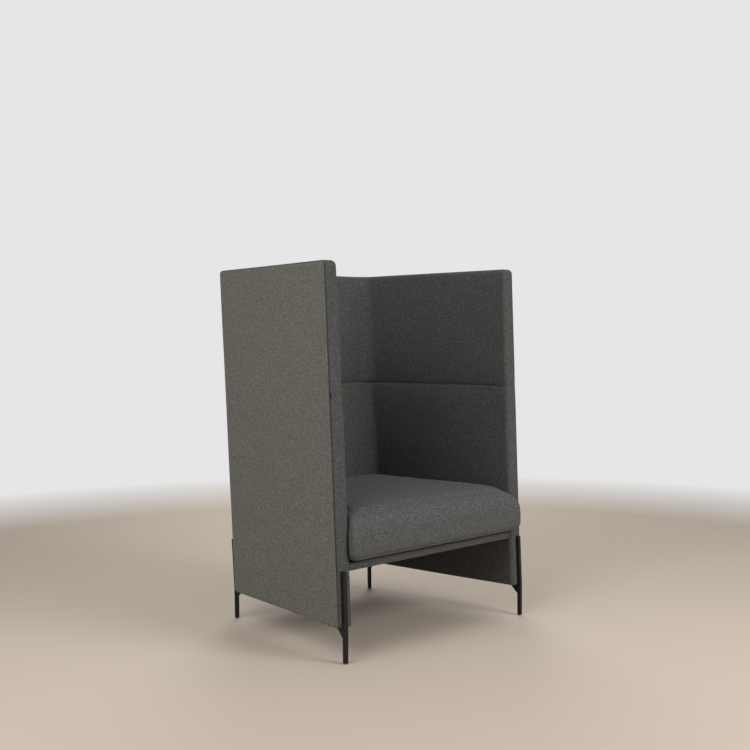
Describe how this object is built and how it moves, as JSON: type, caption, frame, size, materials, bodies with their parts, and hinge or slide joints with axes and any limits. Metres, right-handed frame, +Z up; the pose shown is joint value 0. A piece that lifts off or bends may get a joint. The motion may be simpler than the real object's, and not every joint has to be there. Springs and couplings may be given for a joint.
{
  "type": "acoustic high back lounge chair",
  "caption": "Single-seat lounge chair inside tall padded acoustic walls, open at the front, with a loose seat cushion and slim square metal legs.",
  "frame": {"origin": "on the floor, in the middle of the chair's footprint box", "axes": "+Z up, the open front faces -Y, +X to the sitter's left as they look out of the chair"},
  "size_m": [0.9104, 0.7966, 1.27],
  "materials": {
    "outer_fabric": "dark grey wool melange, plain weave",
    "inner_fabric": "dark grey wool melange, plain weave",
    "seat_fabric": "dark grey wool melange, plain weave",
    "foam": "open-cell foam",
    "plywood": "birch plywood, raw",
    "beech": "beech, raw",
    "closing_strip": "matt black",
    "webbing": "elastic webbing",
    "black_cloth": "non-woven black cloth",
    "leg_metal": "fine-textured black powder coat",
    "glide_plastic": "matt black",
    "screw_steel": "zinc-plated steel"
  },
  "bodies": {
    "chair": {"back_board": "plywood", "back_cover": "outer_fabric", "back_strip": "closing_strip", "corner_block_left": "beech", "corner_block_right": "beech", "corner_board_left": "plywood", "corner_board_right": "plywood", "deck_cloth": "black_cloth", "dust_cover": "black_cloth", "edge_band_left": "inner_fabric", "edge_band_right": "inner_fabric", "front_leg_left": "leg_metal", "front_leg_right": "leg_metal", "front_rail": "beech", "front_rail_cover": "inner_fabric", "leg_glides": "glide_plastic", "leg_screws": "screw_steel", "lower_pad_back": "inner_fabric", "lower_pad_left": "inner_fabric", "lower_pad_right": "inner_fabric", "rail_screws": "screw_steel", "rear_leg_left": "leg_metal", "rear_leg_right": "leg_metal", "rear_rail": "beech", "seat_webbing": "webbing", "side_board_left": "plywood", "side_board_right": "plywood", "side_cover_left": "outer_fabric", "side_cover_right": "outer_fabric", "side_rail_left": "beech", "side_rail_right": "beech", "side_strip_left": "closing_strip", "side_strip_right": "closing_strip", "top_band": "inner_fabric", "under_lining_back": "inner_fabric", "under_lining_left": "inner_fabric", "under_lining_right": "inner_fabric", "upper_pad_back": "inner_fabric", "upper_pad_left": "inner_fabric", "upper_pad_right": "inner_fabric"},
    "cushion": {"cushion_cover": "seat_fabric", "cushion_foam": "foam"}
  },
  "joints": [
    {"name": "cushion_pull", "type": "slide", "parent": "chair", "child": "cushion", "axis": [0, -1, 0], "range_m": [0, 0.75]}
  ]
}
